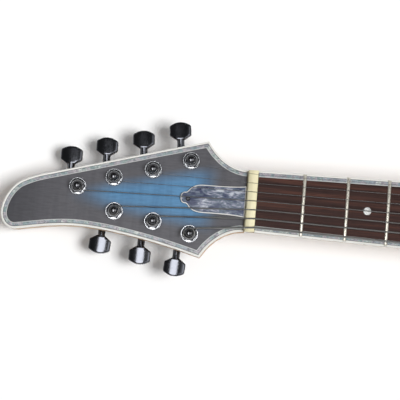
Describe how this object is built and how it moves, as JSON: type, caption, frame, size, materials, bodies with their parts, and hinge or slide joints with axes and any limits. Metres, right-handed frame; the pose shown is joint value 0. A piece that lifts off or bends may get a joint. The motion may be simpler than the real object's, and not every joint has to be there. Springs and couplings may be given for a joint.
{
  "type": "seven-string electric guitar",
  "caption": "Solid-body electric guitar with a bound, angled headstock, geared tuners, long fretted neck, two pickups and a fixed bridge.",
  "frame": {"origin": "on the flat back of the body, on the centre line, straight below the line of the saddles", "axes": "+X from the nut towards the tail, +Y the treble side, +Z out of the top; the guitar lies on its back"},
  "size_m": [0.9647, 0.323, 0.065],
  "materials": {
    "body_wood": "satin lacquer over reddish brown wood",
    "blue_top": "satin see-through blue over flamed maple, dark at the edge",
    "white_binding": "satin",
    "black_plastic": "satin",
    "neck_wood": "satin",
    "steel": "plain",
    "rosewood": "oiled, with polished frets",
    "bone": "polished bone",
    "shell": "polished shell",
    "black_hardware": "gloss black nickel",
    "string_steel": "drawn and wound wire"
  },
  "bodies": {
    "root": {"body_core": "body_wood", "body_top": "blue_top", "body_binding": "white_binding", "control_cover": "black_plastic", "neck": "neck_wood", "truss_rod": "steel", "truss_rod_cover": "shell", "fingerboard": "rosewood", "fingerboard_binding": "white_binding", "nut": "bone", "headstock_veneer": "blue_top", "headstock_purfling": "shell", "headstock_binding": "white_binding", "tuner_housing_1": "black_hardware", "tuner_housing_2": "black_hardware", "tuner_housing_3": "black_hardware", "tuner_housing_4": "black_hardware", "tuner_housing_5": "black_hardware", "tuner_housing_6": "black_hardware", "tuner_housing_7": "black_hardware", "tuner_bushing_1": "black_hardware", "tuner_bushing_2": "black_hardware", "tuner_bushing_3": "black_hardware", "tuner_bushing_4": "black_hardware", "tuner_bushing_5": "black_hardware", "tuner_bushing_6": "black_hardware", "tuner_bushing_7": "black_hardware", "string_1": "string_steel", "string_2": "string_steel", "string_3": "string_steel", "string_4": "string_steel", "string_5": "string_steel", "string_6": "string_steel", "string_7": "string_steel", "pickup_neck": "black_plastic", "pickup_bridge": "black_plastic", "bridge": "black_hardware", "volume_pot": "steel", "tone_pot": "steel", "selector_switch": "black_plastic", "output_jack": "black_hardware", "strap_button_tail": "black_hardware", "strap_button_horn": "black_hardware"},
    "tuner_1_key": {"tuner_key_1": "black_hardware"},
    "tuner_1_post": {"tuner_post_1": "black_hardware"},
    "tuner_2_key": {"tuner_key_2": "black_hardware"},
    "tuner_2_post": {"tuner_post_2": "black_hardware"},
    "tuner_3_key": {"tuner_key_3": "black_hardware"},
    "tuner_3_post": {"tuner_post_3": "black_hardware"},
    "tuner_4_key": {"tuner_key_4": "black_hardware"},
    "tuner_4_post": {"tuner_post_4": "black_hardware"},
    "tuner_5_key": {"tuner_key_5": "black_hardware"},
    "tuner_5_post": {"tuner_post_5": "black_hardware"},
    "tuner_6_key": {"tuner_key_6": "black_hardware"},
    "tuner_6_post": {"tuner_post_6": "black_hardware"},
    "tuner_7_key": {"tuner_key_7": "black_hardware"},
    "tuner_7_post": {"tuner_post_7": "black_hardware"},
    "volume": {"volume_knob": "black_hardware"},
    "tone": {"tone_knob": "black_hardware"},
    "selector": {"selector_lever": "black_hardware"}
  },
  "joints": [
    {"name": "tuner_1_key_turn", "type": "hinge", "parent": "root", "child": "tuner_1_key", "pos_m": [-0.70653, 0.02728, 0.02372], "axis": [-0.1037, 0.9945, -0.0127], "continuous": true},
    {"name": "tuner_1_post_turn", "type": "hinge", "parent": "root", "child": "tuner_1_post", "pos_m": [-0.70027, 0.0282, 0.04454], "axis": [-0.1219, 0, 0.9925], "continuous": true},
    {"name": "tuner_2_key_turn", "type": "hinge", "parent": "root", "child": "tuner_2_key", "pos_m": [-0.73533, 0.01831, 0.02019], "axis": [-0.0779, 0.9969, -0.0096], "continuous": true},
    {"name": "tuner_2_post_turn", "type": "hinge", "parent": "root", "child": "tuner_2_post", "pos_m": [-0.72905, 0.019, 0.04101], "axis": [-0.1219, 0, 0.9925], "continuous": true},
    {"name": "tuner_3_key_turn", "type": "hinge", "parent": "root", "child": "tuner_3_key", "pos_m": [-0.76513, 0.01065, 0.01653], "axis": [-0.0173, 0.9998, -0.0021], "continuous": true},
    {"name": "tuner_3_post_turn", "type": "hinge", "parent": "root", "child": "tuner_3_post", "pos_m": [-0.75883, 0.0108, 0.03735], "axis": [-0.1219, 0, 0.9925], "continuous": true},
    {"name": "tuner_4_key_turn", "type": "hinge", "parent": "root", "child": "tuner_4_key", "pos_m": [-0.79283, 0.0017, 0.01313], "axis": [0, 1, 0], "continuous": true},
    {"name": "tuner_4_post_turn", "type": "hinge", "parent": "root", "child": "tuner_4_post", "pos_m": [-0.78652, 0.0017, 0.03395], "axis": [-0.1219, 0, 0.9925], "continuous": true},
    {"name": "tuner_5_key_turn", "type": "hinge", "parent": "root", "child": "tuner_5_key", "pos_m": [-0.76292, -0.01501, 0.0168], "axis": [-0.0779, -0.9969, -0.0096], "continuous": true},
    {"name": "tuner_5_post_turn", "type": "hinge", "parent": "root", "child": "tuner_5_post", "pos_m": [-0.75664, -0.0157, 0.03762], "axis": [-0.1219, 0, 0.9925], "continuous": true},
    {"name": "tuner_6_key_turn", "type": "hinge", "parent": "root", "child": "tuner_6_key", "pos_m": [-0.73248, -0.02107, 0.02054], "axis": [-0.026, -0.9997, -0.0032], "continuous": true},
    {"name": "tuner_6_post_turn", "type": "hinge", "parent": "root", "child": "tuner_6_post", "pos_m": [-0.72617, -0.0213, 0.04136], "axis": [-0.1219, 0, 0.9925], "continuous": true},
    {"name": "tuner_7_key_turn", "type": "hinge", "parent": "root", "child": "tuner_7_key", "pos_m": [-0.70358, -0.02829, 0.02408], "axis": [-0.0692, -0.9976, -0.0085], "continuous": true},
    {"name": "tuner_7_post_turn", "type": "hinge", "parent": "root", "child": "tuner_7_post", "pos_m": [-0.69729, -0.0289, 0.04491], "axis": [-0.1219, 0, 0.9925], "continuous": true},
    {"name": "volume_turn", "type": "hinge", "parent": "root", "child": "volume", "pos_m": [0.01, 0.078, 0.05], "axis": [0, 0, 1], "range_deg": [0, 280]},
    {"name": "tone_turn", "type": "hinge", "parent": "root", "child": "tone", "pos_m": [0.051, 0.084, 0.05], "axis": [0, 0, 1], "range_deg": [0, 280]},
    {"name": "selector_tilt", "type": "hinge", "parent": "root", "child": "selector", "pos_m": [-0.026, 0.098, 0.03], "axis": [0, 1, 0], "range_deg": [-16, 16]}
  ],
  "couplings": [
    {"joint": "tuner_1_post_turn", "follows": "tuner_1_key_turn", "ratio": -0.0625},
    {"joint": "tuner_2_post_turn", "follows": "tuner_2_key_turn", "ratio": -0.0625},
    {"joint": "tuner_3_post_turn", "follows": "tuner_3_key_turn", "ratio": -0.0625},
    {"joint": "tuner_4_post_turn", "follows": "tuner_4_key_turn", "ratio": -0.0625},
    {"joint": "tuner_5_post_turn", "follows": "tuner_5_key_turn", "ratio": 0.0625},
    {"joint": "tuner_6_post_turn", "follows": "tuner_6_key_turn", "ratio": 0.0625},
    {"joint": "tuner_7_post_turn", "follows": "tuner_7_key_turn", "ratio": 0.0625}
  ]
}
